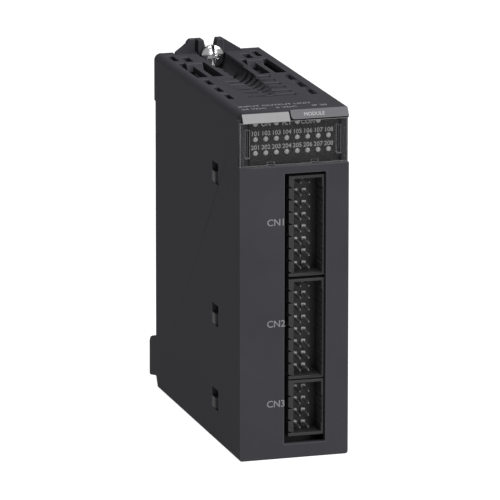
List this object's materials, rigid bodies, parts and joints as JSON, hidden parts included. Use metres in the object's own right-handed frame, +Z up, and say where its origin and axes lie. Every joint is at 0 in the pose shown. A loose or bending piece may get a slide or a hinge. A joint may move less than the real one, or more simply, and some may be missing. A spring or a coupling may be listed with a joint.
{
  "type": "plc module",
  "caption": "Slim rack-mounted controller module with a lamp window, a recessed column of pin headers, top vents and a captive rear screw.",
  "frame": {"origin": "centre of the bottom of the module's box, on the surface it stands on", "axes": "+Z up, along the column of connectors; -Y is the front with the lamps and connectors; +X to the right seen from the front"},
  "size_m": [0.032, 0.093, 0.104],
  "materials": {
    "case_plastic": "fine spark-eroded moulding texture, charcoal grey",
    "inner_plastic": "plain dark grey glass-filled moulding",
    "clear_cover": "polished clear plastic with bright moulded edges",
    "pale_strip": "smooth light grey strip",
    "grey_tab": null,
    "legend_film": null,
    "lamp_lens": "frosted light guide, lamps off",
    "laminate": "green solder-resist over glass laminate",
    "component_body": "black moulded epoxy",
    "tinned_metal": "tin-plated contact metal",
    "capacitor_can": "drawn aluminium can with a dark sleeve",
    "plated_steel": "bright zinc and nickel plate",
    "nylon": "natural nylon"
  },
  "bodies": {
    "housing": {"board_spacer_1": "nylon", "board_spacer_2": "nylon", "board_spacer_3": "nylon", "board_spacer_4": "nylon", "bus_chip": "component_body", "bus_connector": "inner_plastic", "bus_contacts": "tinned_metal", "capacitor_1": "capacitor_can", "capacitor_2": "capacitor_can", "connector_1_pins": "tinned_metal", "connector_1_shroud": "inner_plastic", "connector_2_pins": "tinned_metal", "connector_2_shroud": "inner_plastic", "connector_3_pins": "tinned_metal", "connector_3_shroud": "inner_plastic", "connector_carrier": "inner_plastic", "counter_chip": "component_body", "crystal": "tinned_metal", "display_board": "laminate", "display_window": "clear_cover", "input_isolator_1": "component_body", "input_isolator_2": "component_body", "input_isolator_3": "component_body", "input_isolator_4": "component_body", "input_isolator_5": "component_body", "input_isolator_6": "component_body", "io_board": "laminate", "legend_panel": "legend_film", "light_guide_row_1": "lamp_lens", "light_guide_row_2": "lamp_lens", "light_guide_status": "lamp_lens", "link_header": "inner_plastic", "link_socket": "inner_plastic", "logic_board": "laminate", "main_case": "case_plastic", "marker_strip": "pale_strip", "memory_chip": "component_body", "output_driver_1": "component_body", "output_driver_2": "component_body", "power_converter": "component_body", "rear_cover": "case_plastic", "type_tab": "grey_tab"},
    "washer": {"screw_washer": "plated_steel"},
    "screw": {"fixing_screw": "plated_steel"}
  },
  "joints": [
    {"name": "screw_travel", "type": "slide", "parent": "housing", "child": "washer", "axis": [0, -1, 0], "range_m": [0, 0.005]},
    {"name": "screw_turn", "type": "hinge", "parent": "washer", "child": "screw", "pos_m": [0, 0.0325, 0.0993], "axis": [0, -1, 0], "range_deg": [0, 3600]}
  ],
  "couplings": [
    {"joint": "screw_turn", "follows": "screw_travel", "rad_per_m": 12566}
  ]
}
